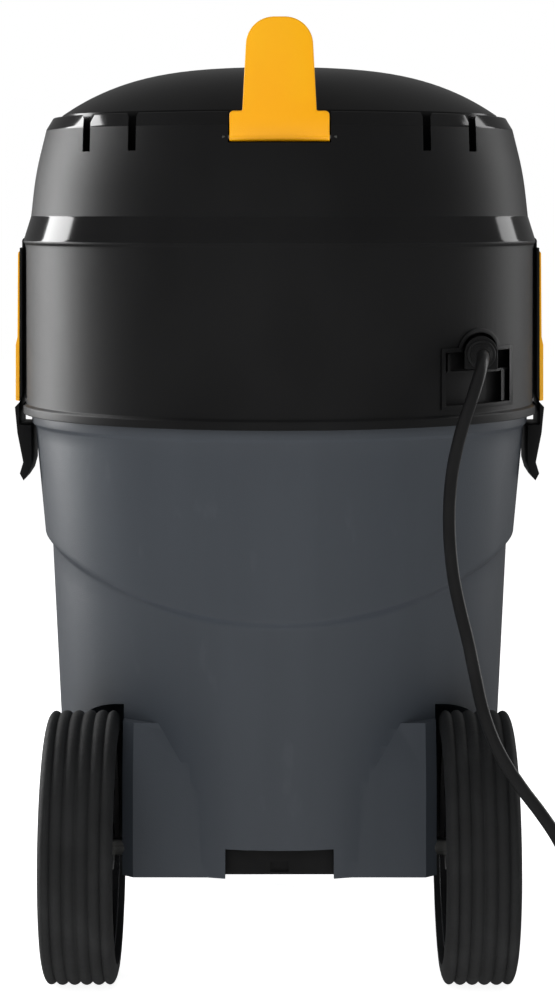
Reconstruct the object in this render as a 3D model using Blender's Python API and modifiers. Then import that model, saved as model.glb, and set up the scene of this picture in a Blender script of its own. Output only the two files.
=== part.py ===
"""Shop vacuum, modelled piece by piece.

Metres, +Z up. The cord and the big wheels are at the back, which faces -Y, and the hose inlet is at
the front, +Y. The origin is on the floor under the middle of the drum.
"""

import math

import bmesh
import bpy
from mathutils import Matrix, Vector

GAP = 0.0003  # left between pieces that touch

# Tank
TANK_RIM = 0.400
TANK_BOTTOM = 0.0765
FLOOR_TOP = 0.110
FLOOR_UNDER = 0.106
WALL = 0.004
STEP_LOW = 0.258  # height of the swept step at the back
STEP_SWEEP = 0.046  # how much higher it is at the sides
TANK_SECTIONS = ((0.400, 0.1895), (0.391, 0.1895), (0.3885, 0.1867))
TANK_STEP = ((0.004, 0.1792), (-0.002, 0.1737))  # over and under the step line
TANK_SKIRT = ((0.170, 0.1672), (TANK_BOTTOM, 0.1625))
TANK_SIDES = 36
NOTCH_HALF, NOTCH_TOP = 0.0386, 0.098
HOUSING_BACK = -0.1530

# Rear wheels
WHEEL_R, AXLE_Y = 0.096, -0.140
TYRE_IN, TYRE_OUT = 0.1150, 0.1665
RIM_R = 0.0815
WHEEL_SIDES = 28
AXLE_R = 0.006
WELL_R, WELL_IN = 0.1005, 0.1125

# Front casters
CASTER_X, CASTER_Y, CASTER_TRAIL = 0.085, 0.172, 0.014
CASTER_R, CASTER_HALF = 0.028, 0.009

# Hose inlet
INLET_Z, INLET_BORE, INLET_R, INLET_END = 0.330, 0.0285, 0.033, 0.236

# Power head
HEAD_SIDES = 40
HEAD_R, HEAD_IN, HEAD_LIP_R, HEAD_LIP = 0.1941, 0.1890, 0.1965, 0.3985
HEAD_TOP, DECK_TOP, DECK_UNDER, DECK_BORE = 0.6225, 0.592, 0.588, 0.110
HEAD_OUTER = (
    (0.1735, HEAD_TOP),
    (0.1788, 0.6134),
    (0.1868, 0.5803),
    (0.1903, 0.5472),
    (0.1962, 0.5295),
    (0.1944, 0.5250),
    (HEAD_R, 0.4060),
    (HEAD_LIP_R, 0.4040),
    (HEAD_LIP_R, HEAD_LIP),
)
HEAD_INNER = (
    (0.1925, HEAD_LIP),
    (0.1925, 0.4030),
    (HEAD_IN, 0.4045),
    (HEAD_IN, 0.5250),
    (0.1840, 0.5500),
    (0.1782, DECK_UNDER),
    (0.1782, DECK_TOP),
    (0.1700, HEAD_TOP),
)
DECK_RIM = 0.1780
DOME_HALF_X, DOME_HALF_Y, DOME_WALL = 0.1665, 0.150, 0.003
DOME_SIDES = 32
DOME_SECTIONS = (  # share of the plan, height
    (1.0, DECK_TOP + GAP),
    (1.0, 0.6275),
    (0.90, 0.6360),
    (0.66, 0.6500),
    (0.38, 0.6585),
    (0.14, 0.6610),
)
SLOTS_X, SLOT_WIDTH, SLOT_FOOT = (0.1405, 0.1056), 0.0058, 0.595

# Cord hook
HOOK_Y, HOOK_Z, HOOK_HALF_T = -0.1750, 0.6040, 0.0032
HOOK_FOOT_HALF, HOOK_FOOT_TOP, HOOK_TOP = 0.0353, 0.6226, 0.689
HOOK_NECK_HALF, HOOK_TIP_HALF, HOOK_CORNER = 0.0262, 0.0238, 0.020
HOOK_PIN_R, HOOK_PIN_HALF = 0.0015, 0.0405

# Latches
LATCH_X, LATCH_Z, LATCH_EYE_R, LATCH_PIN_R = 0.1938, 0.5285, 0.0032, 0.0015
LATCH_HALF, LATCH_EYE_HALF = 0.028, 0.012

# Cord entry, switch and exhaust
ENTRY_X, ENTRY_Z, ENTRY_LEFT, ENTRY_RIGHT = 0.1446, 0.449, 0.1185, 0.1685
ENTRY_LOW, ENTRY_SHOULDER, ENTRY_ARCH_R, ENTRY_BOSS_R = 0.413, 0.4507, 0.0136, 0.0125
ENTRY_FACE = -0.141
RELIEF_END = -0.158
SWITCH_Z, SWITCH_HALF_X, SWITCH_HALF_Z = 0.470, 0.019, 0.024
ROCKER_HALF_X, ROCKER_HALF_Z, ROCKER_Y, ROCKER_LEAN = 0.0115, 0.0155, 0.1945, 8
GRILLE_LOW, GRILLE_HIGH, GRILLE_HALF_X = 0.551, 0.576, 0.060

# Motor, fan, float and filter, all on the drum's own axis
BASE_LOW, BASE_HIGH, BASE_R, EYE_R = 0.4055, 0.4115, 0.186, 0.020

SHAFT_R, STUD_R = 0.0040, 0.0043

# Mains cord
CORD_R = 0.0045
COIL_X, COIL_Y, COIL_RUN_R = 0.285, -0.140, 0.0750
COIL_IN, COIL_OUT, COIL_HIGH = 0.0418, 0.0698, 0.0370
CORD_ROUTE = (
    (ENTRY_X, RELIEF_END - GAP, 0.4490),
    (0.1440, -0.1680, 0.4482),
    (0.1424, -0.1800, 0.4440),
    (0.1392, -0.1905, 0.4350),
    (0.1345, -0.1975, 0.4220),
    (0.1290, -0.2010, 0.4070),
    (0.1240, -0.2025, 0.3900),
    (0.1200, -0.2030, 0.3700),
    (0.1180, -0.2035, 0.3470),
    (0.1182, -0.2050, 0.3230),
    (0.1205, -0.2080, 0.2990),
    (0.1250, -0.2130, 0.2760),
    (0.1300, -0.2190, 0.2550),
    (0.1345, -0.2260, 0.2320),
    (0.1390, -0.2330, 0.2110),
    (0.1455, -0.2400, 0.1920),
    (0.1545, -0.2460, 0.1750),
    (0.1655, -0.2500, 0.1590),
    (0.1770, -0.2515, 0.1440),
    (0.1880, -0.2515, 0.1275),
    (0.1975, -0.2500, 0.1080),
    (0.2050, -0.2470, 0.0870),
    (0.2115, -0.2425, 0.0650),
    (0.2190, -0.2360, 0.0430),
    (0.2300, -0.2285, 0.0230),
    (0.2460, -0.2218, 0.0095),
    (0.2650, -0.2167, 0.0052),
    (COIL_X, COIL_Y - COIL_RUN_R, 0.0049),
)
TAIL_ROUTE = (
    (COIL_X + COIL_RUN_R, COIL_Y, 0.0321),
    (0.3598, -0.1230, 0.0305),
    (0.3588, -0.1060, 0.0250),
    (0.3570, -0.0890, 0.0165),
    (0.3545, -0.0720, 0.0085),
    (0.3524, -0.0560, 0.0078),
    (0.3512, -0.0410, 0.0100),
    (0.3510, -0.0280, 0.0105),
)
PLUG_X, PLUG_Y, PLUG_Z = 0.3510, -0.0280 + GAP, 0.0105


# ---------------------------------------------------------------- helpers

parts = bpy.data.collections.new("shop_vacuum")
cutters = bpy.data.collections.new("cutters")


def clear_scene():
    for obj in list(bpy.data.objects):
        bpy.data.objects.remove(obj, do_unlink=True)
    for made in (parts, cutters):
        bpy.context.scene.collection.children.link(made)


def material(name, colour, roughness, metallic=0.0):
    made = bpy.data.materials.new(name)
    made.use_nodes = True
    shader = made.node_tree.nodes["Principled BSDF"]
    shader.inputs["Base Color"].default_value = (*colour, 1.0)
    shader.inputs["Roughness"].default_value = roughness
    shader.inputs["Metallic"].default_value = metallic
    return made


BLACK = material("black_plastic", (0.020, 0.020, 0.021), 0.42)
GREY = material("blue_grey_plastic", (0.085, 0.098, 0.122), 0.45)
YELLOW = material("yellow_plastic", (1.0, 0.42, 0.0), 0.38)
RUBBER = material("rubber", (0.018, 0.019, 0.019), 0.75)
STEEL = material("steel", (0.55, 0.55, 0.56), 0.3, 1.0)
COPPER = material("motor_iron", (0.28, 0.20, 0.15), 0.5, 0.8)
PAPER = material("filter_paper", (0.72, 0.69, 0.60), 0.9)
WHITE = material("white_plastic", (0.70, 0.70, 0.68), 0.5)


def place(name, mesh, finish):
    """A piece of the vacuum, or a hidden cutter where finish is None."""
    obj = bpy.data.objects.new(name, mesh)
    (parts if finish else cutters).objects.link(obj)
    if finish:
        mesh.materials.append(finish)
    else:
        obj.hide_render = True
        obj.display_type = "WIRE"
    return obj


def from_bmesh(name, bm, finish):
    bmesh.ops.recalc_face_normals(bm, faces=bm.faces)
    mesh = bpy.data.meshes.new(name)
    bm.to_mesh(mesh)
    bm.free()
    return place(name, mesh, finish)


def box(name, low, high, finish=None):
    bm = bmesh.new()
    size = Vector(high) - Vector(low)
    middle = (Vector(high) + Vector(low)) / 2
    bmesh.ops.create_cube(bm, size=1, matrix=Matrix.Translation(middle) @ Matrix.Diagonal((*size, 1)))
    return from_bmesh(name, bm, finish)


TURN = {
    "X": Matrix.Rotation(math.pi / 2, 4, "Y"),
    "Y": Matrix.Rotation(-math.pi / 2, 4, "X"),
    "Z": Matrix.Identity(4),
}


def rod(name, start, length, radius, axis="Z", finish=None, sides=16, end_radius=None):
    """A round bar from start, running length along +axis."""
    bm = bmesh.new()
    middle = Matrix.Translation(Vector(start)) @ TURN[axis] @ Matrix.Translation((0, 0, length / 2))
    bmesh.ops.create_cone(
        bm,
        cap_ends=True,
        segments=sides,
        radius1=radius,
        radius2=radius if end_radius is None else end_radius,
        depth=length,
        matrix=middle,
    )
    return from_bmesh(name, bm, finish)


def turned(name, profile, finish, sides=32, axis="Z", at=(0, 0, 0), flip=False):
    """A turned piece. The profile's (radius, height) points run down the outside and back up the inside."""
    closed = min(radius for radius, _ in profile) > 0
    bm = bmesh.new()
    points = [bm.verts.new((radius, 0, height)) for radius, height in profile]
    for first, second in zip(points, points[1:]):
        bm.edges.new((first, second))
    if closed:
        bm.edges.new((points[-1], points[0]))
    mesh = bpy.data.meshes.new(name)
    bm.to_mesh(mesh)
    bm.free()
    obj = place(name, mesh, finish)
    screw = obj.modifiers.new("Turn", "SCREW")
    screw.steps = screw.render_steps = sides
    screw.use_merge_vertices = True
    screw.merge_threshold = 0.00001
    screw.use_smooth_shade = False
    turn = TURN[axis] @ Matrix.Rotation(math.pi if flip else 0, 4, "X")
    obj.matrix_world = Matrix.Translation(Vector(at)) @ turn
    return obj


def ring(inner, outer, low, high):
    """The profile of a plain collar."""
    return (outer, high), (outer, low), (inner, low), (inner, high)


def loft(name, rings, finish):
    """A closed solid through rings of equal counts of points, from the top one down."""
    bm = bmesh.new()
    made = [[bm.verts.new(point) for point in ring] for ring in rings]
    count = len(made[0])
    for upper, lower in zip(made, made[1:]):
        for i in range(count):
            j = (i + 1) % count
            bm.faces.new((upper[i], upper[j], lower[j], lower[i]))
    bm.faces.new(made[0])
    bm.faces.new(made[-1])
    return from_bmesh(name, bm, finish)


def plate(name, outline, low, high, finish=None, axis="Z"):
    """A flat outline made solid from low to high along the axis. Its points are the other two, in order."""
    bm = bmesh.new()
    spot = {
        "X": lambda a, b: (low, a, b),
        "Y": lambda a, b: (a, low, b),
        "Z": lambda a, b: (a, b, low),
    }[axis]
    face = bm.faces.new([bm.verts.new(spot(a, b)) for a, b in outline])
    shift = Vector([high - low if axis == letter else 0 for letter in "XYZ"])
    grown = bmesh.ops.extrude_face_region(bm, geom=[face])["geom"]
    bmesh.ops.translate(bm, vec=shift, verts=[v for v in grown if isinstance(v, bmesh.types.BMVert)])
    return from_bmesh(name, bm, finish)


def combine(obj, other, operation):
    made = obj.modifiers.new(operation.title(), "BOOLEAN")
    made.operation = operation
    made.object = other
    made.solver = "EXACT"


def cut(obj, *others):
    for other in others:
        combine(obj, other, "DIFFERENCE")


def join(obj, *others):
    for other in others:
        combine(obj, other, "UNION")


def bevel(obj, width, angle=40, segments=1):
    made = obj.modifiers.new("Bevel", "BEVEL")
    made.width = width
    made.segments = segments
    made.limit_method = "ANGLE"
    made.angle_limit = math.radians(angle)


def arc(centre, radius, first, last, count):
    """Points on an arc, from angle first to last in degrees."""
    for i in range(count):
        angle = math.radians(first + (last - first) * i / (count - 1))
        yield centre[0] + radius * math.cos(angle), centre[1] + radius * math.sin(angle)


def smooth_route(route, spacing):
    """Points at about that spacing on a smooth curve through the route's own points."""
    points = [Vector(p) for p in route]
    ends = [2 * points[0] - points[1], *points, 2 * points[-1] - points[-2]]
    fine = []
    for before, start, end, after in zip(ends, ends[1:], ends[2:], ends[3:]):
        steps = max(1, round((end - start).length / spacing))
        for i in range(steps):
            t = i / steps
            fine.append(
                0.5
                * (
                    2 * start
                    + (end - before) * t
                    + (2 * before - 5 * start + 4 * end - after) * t**2
                    + (3 * start - before - 3 * end + after) * t**3
                )
            )
    return [*fine, points[-1]]


def tube(name, route, radius, finish, spacing):
    line = bpy.data.curves.new(name, "CURVE")
    line.dimensions = "3D"
    line.bevel_depth = radius
    line.bevel_resolution = 2
    line.use_fill_caps = True
    points = smooth_route(route, spacing)
    spline = line.splines.new("POLY")
    spline.points.add(len(points) - 1)
    for spot, point in zip(spline.points, points):
        spot.co = (*point, 1)
    line.materials.append(finish)
    obj = bpy.data.objects.new(name, line)
    parts.objects.link(obj)
    return obj


def both_sides(make):
    for side, word in ((-1, "left"), (1, "right")):
        make(side, word)


# ---------------------------------------------------------------- tank


def step_height(angle):
    """Height of the swept step at an angle from the back, in plan."""
    return STEP_LOW + STEP_SWEEP * math.sin(angle) ** 2


def tank_ring(offset, height=None, radius=None, over_step=None):
    ring = []
    for i in range(TANK_SIDES):
        angle = 2 * math.pi * i / TANK_SIDES
        z = height if over_step is None else step_height(angle) + over_step
        r = radius - offset
        ring.append((r * math.sin(angle), -r * math.cos(angle), z))
    return ring


def tank_rings(offset, top, bottom):
    """The drum's rings, from top down, drawn in by offset."""
    rings = [tank_ring(offset, z, r) for z, r in TANK_SECTIONS if z < top]
    rings.insert(0, tank_ring(offset, top, TANK_SECTIONS[0][1]))
    rings += [tank_ring(offset, radius=r, over_step=z) for z, r in TANK_STEP]
    rings += [tank_ring(offset, z, r) for z, r in TANK_SKIRT if z > bottom]
    rings.append(tank_ring(offset, bottom, TANK_SKIRT[-1][1]))
    return rings


def well(name, side, grown):
    inner = WELL_IN - grown
    start = (inner if side > 0 else -0.25, AXLE_Y, WHEEL_R)
    return rod(name, start, 0.25 - inner, WELL_R + grown, "X", sides=32)


def axle_housing(side):
    """A squared corner of the skirt that carries the axle past the round of the drum."""
    low, high = TANK_BOTTOM, 0.185
    rings = []
    for z, back in ((high, -0.1440), (0.150, HOUSING_BACK), (low, HOUSING_BACK)):
        end = WELL_IN + 0.002
        outline = ((0.050, -0.1280), (0.050, back), (0.1045, back), (end, back + 0.010), (end, -0.1000))
        rings.append([(side * x, y, z) for x, y in outline])
    return loft(f"axle_housing_{side}", rings, None)


def caster_foot_outline(side, grown):
    outer = arc((CASTER_X, CASTER_Y), 0.021 + grown, -35, 145, 9)
    inner = arc((0.066, 0.128), 0.018 + grown, 145, 325, 7)
    return [(side * x, y) for x, y in (*outer, *inner)]


def make_tank():
    tank = loft("tank", tank_rings(0, TANK_RIM, TANK_BOTTOM), GREY)
    for side in (-1, 1):
        join(tank, axle_housing(side))
    cavity = loft("tank_cavity", tank_rings(WALL, TANK_RIM + 0.01, FLOOR_TOP), None)
    under = loft("tank_under", [tank_ring(WALL, z, 0.1625) for z in (FLOOR_UNDER, TANK_BOTTOM - 0.01)], None)
    for side in (-1, 1):
        cut(cavity, well(f"well_wall_{side}", side, WALL))
        cut(under, well(f"well_wall_low_{side}", side, WALL))
        cut(tank, well(f"well_{side}", side, 0))
    cut(tank, cavity, under)
    cut(tank, box("skirt_notch", (-NOTCH_HALF, -0.20, 0.05), (NOTCH_HALF, -0.145, NOTCH_TOP)))
    cut(tank, rod("inlet_hole", (0, 0.14, INLET_Z), 0.1, INLET_BORE, "Y", sides=20))
    cut(tank, rod("axle_holes", (-0.13, AXLE_Y, WHEEL_R), 0.26, AXLE_R + GAP, "X"))
    for side in (-1, 1):
        outline = caster_foot_outline(side, GAP)
        cut(tank, plate(f"foot_gap_{side}", outline, 0.05, FLOOR_UNDER - 0.00005))
    return tank


def make_inlet():
    port = turned(
        "inlet_port",
        (
            (INLET_R, INLET_END),
            (INLET_R, 0.197),
            (0.046, 0.194),
            (0.046, 0.170),
            (INLET_BORE, 0.170),
            (INLET_BORE, INLET_END),
        ),
        BLACK,
        sides=20,
        axis="Y",
        at=(0, 0, INLET_Z),
    )
    cut(port, loft("inlet_seat", tank_rings(-GAP, TANK_RIM, TANK_BOTTOM), None))
    corners = [(x * 0.0275, z * 0.0275) for x in (-1, 1) for z in (-1, 1)]
    for i, (x, z) in enumerate(corners, 1):
        rod(f"inlet_screw_{i}", (x, 0.1968, INLET_Z + z), 0.0034, 0.0024, "Y", STEEL, 10)


# ---------------------------------------------------------------- running gear


def tyre_profile():
    """Six round ribs across the tread, as (radius, distance out from the inner wall)."""
    ribs, width = 6, TYRE_OUT - TYRE_IN
    pitch = width / ribs
    outside = [(WHEEL_R - 0.0075, width), (WHEEL_R - 0.0012, width - 0.4 * pitch)]
    for i in range(1, ribs):
        low = width - pitch * i
        outside.append((WHEEL_R - 0.0028, low))
        outside.append((WHEEL_R if i < ribs - 1 else WHEEL_R - 0.0012, low - 0.5 * pitch))
    return [*outside, (WHEEL_R - 0.0075, 0), (RIM_R, 0), (RIM_R, width)]


HUB_PROFILE = (
    (RIM_R - GAP, 0.0475),
    (RIM_R - GAP, 0.0040),
    (0.0770, 0.0040),
    (0.0770, 0.0200),
    (0.0170, 0.0230),
    (0.0170, 0.0040),
    (AXLE_R + GAP, 0.0040),
    (AXLE_R + GAP, 0.0430),
    (0.0180, 0.0430),
    (0.0180, 0.0280),
    (0.0740, 0.0260),
    (0.0770, 0.0475),
)


def make_wheel(side, word):
    at = (side * TYRE_IN, AXLE_Y, WHEEL_R)
    flip = side < 0
    turned(f"tyre_{word}", tyre_profile(), RUBBER, WHEEL_SIDES, "X", at, flip)
    turned(f"wheel_hub_{word}", HUB_PROFILE, BLACK, WHEEL_SIDES, "X", at, flip)
    cap = ((0.0, 0.0500), (0.0130, 0.0495), (0.0160, 0.0475), (0.0160, 0.0433), (0.0, 0.0433))
    turned(f"axle_cap_{word}", cap, BLACK, 20, "X", at, flip)


def make_axle():
    half = TYRE_IN + 0.0429
    rod("rear_axle", (-half, AXLE_Y, WHEEL_R), 2 * half, AXLE_R, "X", STEEL, 16)
    cradle = box("axle_cradle", (-0.046, -0.150, 0.0780), (0.046, -0.128, 0.1055), BLACK)
    cut(cradle, rod("cradle_bore", (-0.07, AXLE_Y, WHEEL_R), 0.14, AXLE_R + GAP, "X"))
    cut(cradle, box("cradle_window", (-0.0065, -0.17, 0.0800), (0.0065, -0.1475, 0.0870)))


def make_caster(side, word):
    x, y, wheel_y = side * CASTER_X, CASTER_Y, CASTER_Y + CASTER_TRAIL
    outline = caster_foot_outline(side, 0)
    foot = plate(f"caster_foot_{word}", outline, TANK_BOTTOM, FLOOR_UNDER - 2 * GAP, BLACK)
    cut(foot, rod(f"stem_bore_{word}", (x, y, 0.07), 0.027, 0.0053, sides=12))
    fork = rod(f"caster_fork_{word}", (x, y, 0.0700), 0.0060, 0.018, finish=STEEL, sides=20)
    join(fork, rod(f"fork_stem_{word}", (x, y, 0.0730), 0.0215, 0.0050, sides=12))
    for leg in (-1, 1):
        near, far = sorted((x + leg * 0.0098, x + leg * 0.0128))
        top, low = 0.0730, 0.0220
        leg_outline = ((y - 0.011, top), (y + 0.013, top), (wheel_y + 0.007, low), (wheel_y - 0.007, low))
        join(fork, plate(f"fork_leg_{word}_{leg}", leg_outline, near, far, axis="X"))
    cut(fork, rod(f"pin_hole_{word}", (x - 0.02, wheel_y, CASTER_R), 0.04, 0.0030 + GAP, "X", sides=12))
    half = CASTER_HALF
    wheel = (
        (0.0255, half),
        (CASTER_R, half - 0.003),
        (CASTER_R, 0.003 - half),
        (0.0255, -half),
        (0.0030 + GAP, -half),
        (0.0030 + GAP, half),
    )
    turned(f"caster_wheel_{word}", wheel, RUBBER, 24, "X", (x, wheel_y, CASTER_R))
    rod(f"caster_pin_{word}", (x - 0.0145, wheel_y, CASTER_R), 0.029, 0.0030, "X", STEEL, 12)


# ---------------------------------------------------------------- power head


def head_solid(name, grown):
    """The head's outside as one solid, for cutting seats that fit it."""
    outside = [(radius + grown, z) for radius, z in HEAD_OUTER]
    return turned(name, ((0, HEAD_TOP), *outside, (0, HEAD_LIP)), None, HEAD_SIDES)


def make_head():
    shell = turned("head_shell", (*HEAD_OUTER, *HEAD_INNER), BLACK, HEAD_SIDES)
    turned("head_deck", ring(DECK_BORE, DECK_RIM, DECK_UNDER, DECK_TOP), BLACK, HEAD_SIDES)
    notch = HOOK_FOOT_HALF + 0.0010
    cut(shell, box("hook_notch", (-notch, -0.20, HOOK_Z - 0.0038), (notch, -0.16, 0.64)))
    pin = HOOK_PIN_HALF + GAP
    cut(shell, rod("hook_pin_holes", (-pin, HOOK_Y, HOOK_Z), 2 * pin, HOOK_PIN_R + GAP, "X", sides=10))
    for x in SLOTS_X:
        for side in (-1, 1):
            low, high = sorted((side * (x - SLOT_WIDTH / 2), side * (x + SLOT_WIDTH / 2)))
            cut(shell, box(f"slot_{side}_{x}", (low, -0.19, SLOT_FOOT), (high, -0.07, 0.64)))
    cut(shell, box("entry_window", (ENTRY_LEFT, -0.21, ENTRY_LOW), (ENTRY_RIGHT, -0.07, ENTRY_SHOULDER)))
    cut(shell, rod("entry_arch", (ENTRY_X, -0.21, ENTRY_SHOULDER - 0.001), 0.11, ENTRY_ARCH_R, "Y", sides=24))
    for side in (-1, 1):
        low, high = sorted((side * 0.1902, side * 0.22))
        half, rise = LATCH_EYE_HALF + GAP, LATCH_EYE_R + 0.001
        cut(shell, box(f"latch_pocket_{side}", (low, -half, LATCH_Z - rise), (high, half, LATCH_Z + rise)))
        start, radius = (side * LATCH_X, -half - 0.004, LATCH_Z), LATCH_PIN_R + GAP
        cut(shell, rod(f"latch_hole_{side}", start, 2 * (half + 0.004), radius, "Y", sides=10))
    rocker_x, rocker_z = ROCKER_HALF_X + 0.0006, ROCKER_HALF_Z + 0.0006
    cut(
        shell,
        box("rocker_window", (-rocker_x, 0.17, SWITCH_Z - rocker_z), (rocker_x, 0.21, SWITCH_Z + rocker_z)),
    )
    cut(shell, box("grille_window", (-GRILLE_HALF_X, 0.13, GRILLE_LOW), (GRILLE_HALF_X, 0.21, GRILLE_HIGH)))


def ellipse_ring(share, z, inset):
    ring = []
    for i in range(DOME_SIDES):
        angle = 2 * math.pi * i / DOME_SIDES
        x, y = DOME_HALF_X * share - inset, DOME_HALF_Y * share - inset
        ring.append((x * math.sin(angle), -y * math.cos(angle), z))
    return ring


def make_dome():
    dome = loft("head_dome", [ellipse_ring(s, z, 0) for s, z in reversed(DOME_SECTIONS)], BLACK)
    hollow = [ellipse_ring(s, z - DOME_WALL, DOME_WALL * 0.6) for s, z in reversed(DOME_SECTIONS)]
    cut(dome, loft("dome_hollow", hollow, None))


def make_hook():
    corner, tip, neck, foot = HOOK_CORNER, HOOK_TIP_HALF, HOOK_NECK_HALF, HOOK_FOOT_HALF
    top = HOOK_TOP - corner
    outline = [
        *arc((tip - corner, top), corner, 90, 0, 7),
        (neck, HOOK_FOOT_TOP),
        (foot - 0.003, HOOK_FOOT_TOP),
        (foot, HOOK_FOOT_TOP - 0.003),
        (foot, HOOK_Z),
    ]
    outline += [(-x, z) for x, z in reversed(outline)]
    hook = plate("cord_hook", outline, HOOK_Y - HOOK_HALF_T, HOOK_Y + HOOK_HALF_T, YELLOW, "Y")
    join(hook, rod("hook_barrel", (-foot, HOOK_Y, HOOK_Z), 2 * foot, HOOK_HALF_T - 0.00002, "X", sides=16))
    cut(hook, rod("hook_bore", (-0.05, HOOK_Y, HOOK_Z), 0.1, HOOK_PIN_R + GAP, "X", sides=10))
    rod("hook_pin", (-HOOK_PIN_HALF, HOOK_Y, HOOK_Z), 2 * HOOK_PIN_HALF, HOOK_PIN_R, "X", STEEL, 10)


LATCH_OUTLINE = (  # distance out, height
    (0.1952, 0.5240),
    (0.1972, 0.5240),
    (0.1972, 0.4070),
    (0.2009, 0.4030),
    (0.1990, 0.3834),
    (0.1946, 0.3611),
    (0.1972, 0.3526),
    (0.1943, 0.3472),
    (0.1905, 0.3530),
    (0.1882, 0.3611),
    (0.1885, 0.3895),
    (0.1976, 0.3897),
    (0.1976, 0.4060),
    (0.1952, 0.4120),
)
LATCH_FACE_OUTLINE = (
    (0.1975, 0.5215),
    (0.1988, 0.5200),
    (0.1992, 0.4560),
    (0.2005, 0.4500),
    (0.2005, 0.4080),
    (0.1975, 0.4075),
)


def make_latch(side, word):
    outline = [(side * x, z) for x, z in LATCH_OUTLINE]
    face = [(side * x, z) for x, z in LATCH_FACE_OUTLINE]
    latch = plate(f"latch_{word}", outline, -LATCH_HALF, LATCH_HALF, BLACK, "Y")

    def bar(name, half, radius, finish=None, sides=10):
        return rod(name, (side * LATCH_X, -half, LATCH_Z), 2 * half, radius, "Y", finish, sides)

    low, high = sorted((side * 0.1946, side * 0.1969))
    neck = box(f"latch_neck_{word}", (low, -LATCH_EYE_HALF, 0.5200), (high, LATCH_EYE_HALF, LATCH_Z))
    cut(neck, bar(f"latch_neck_bore_{word}", 0.05, LATCH_PIN_R + 2 * GAP))
    join(latch, neck, bar(f"latch_eye_{word}", LATCH_EYE_HALF, LATCH_EYE_R, sides=16))
    cut(latch, bar(f"latch_bore_{word}", 0.05, LATCH_PIN_R + GAP))
    plate(f"latch_face_{word}", face, 0.002 - LATCH_HALF, LATCH_HALF - 0.002, YELLOW, "Y")
    bar(f"latch_pin_{word}", LATCH_EYE_HALF + 0.004, LATCH_PIN_R, STEEL)


def curved_panel(name, inner, outer, first, last, low, high, finish, count=9, centre=-90):
    """A piece of a drum wall between two angles in plan, in degrees from the middle one."""
    outline = [*arc((0, 0), outer, centre + first, centre + last, count)]
    outline += arc((0, 0), inner, centre + last, centre + first, count)
    return plate(name, outline, low, high, finish)


def make_cord_entry():
    panel = curved_panel("cord_entry_panel", 0.1850, 0.1880, 36.5, 69, 0.4118, 0.470, BLACK, 10)
    boss = rod("entry_boss", (ENTRY_X, ENTRY_FACE, ENTRY_Z), 0.041, ENTRY_BOSS_R, "Y", sides=24)
    join(panel, boss)
    cut(panel, rod("entry_bore", (ENTRY_X, -0.2, ENTRY_Z), 0.12, 0.0085 + GAP, "Y", sides=16))
    relief = (
        (CORD_R, -RELIEF_END),
        (0.0058, -RELIEF_END),
        (0.0080, 0.1440),
        (0.0108, 0.1440),
        (0.0108, -ENTRY_FACE + GAP),
        (0.0085, -ENTRY_FACE + GAP),
        (0.0085, 0.1050),
        (CORD_R, 0.1050),
    )
    profile = [(radius, -along) for radius, along in reversed(relief)]
    turned("strain_relief", profile, RUBBER, 16, "Y", (ENTRY_X, 0, ENTRY_Z))


def make_switch():
    bezel = box(
        "switch_bezel",
        (-SWITCH_HALF_X, 0.180, SWITCH_Z - SWITCH_HALF_Z),
        (SWITCH_HALF_X, 0.1985, SWITCH_Z + SWITCH_HALF_Z),
        BLACK,
    )
    bevel(bezel, 0.003)
    cut(bezel, head_solid("bezel_seat", GAP))
    half_x, half_z = ROCKER_HALF_X + 0.0006, ROCKER_HALF_Z + 0.0006
    cut(bezel, box("bezel_opening", (-half_x, 0.17, SWITCH_Z - half_z), (half_x, 0.22, SWITCH_Z + half_z)))
    neutral = ((-0.004, -0.0135), (0.0088, -0.0140), (0.0060, 0.0), (0.0088, 0.0140), (-0.004, 0.0135))
    lean = Matrix.Rotation(math.radians(ROCKER_LEAN), 2)
    outline = [lean @ Vector(point) + Vector((ROCKER_Y, SWITCH_Z)) for point in neutral]
    plate("switch_rocker", outline, -ROCKER_HALF_X, ROCKER_HALF_X, YELLOW, "X")


def make_grille():
    low, high = GRILLE_LOW - 0.003, GRILLE_HIGH + 0.0025
    grille = curved_panel("exhaust_grille", 0.1748, 0.1780, -20.5, 20.5, low, high, BLACK, 9, 90)
    count, pitch, half = 9, 0.0115, 0.0035
    for i in range(count):
        x = (i - (count - 1) / 2) * pitch
        slot = box(f"grille_slot_{i}", (x - half, 0.15, low + 0.006), (x + half, 0.20, high - 0.0055))
        cut(grille, slot)


def make_base():
    turned("head_base", ring(EYE_R, BASE_R, BASE_LOW, BASE_HIGH), BLACK, HEAD_SIDES)
    turned("rim_seal", ring(0.1795, 0.1862, TANK_RIM + GAP, BASE_LOW - GAP), RUBBER, HEAD_SIDES)


# ---------------------------------------------------------------- inside


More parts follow.
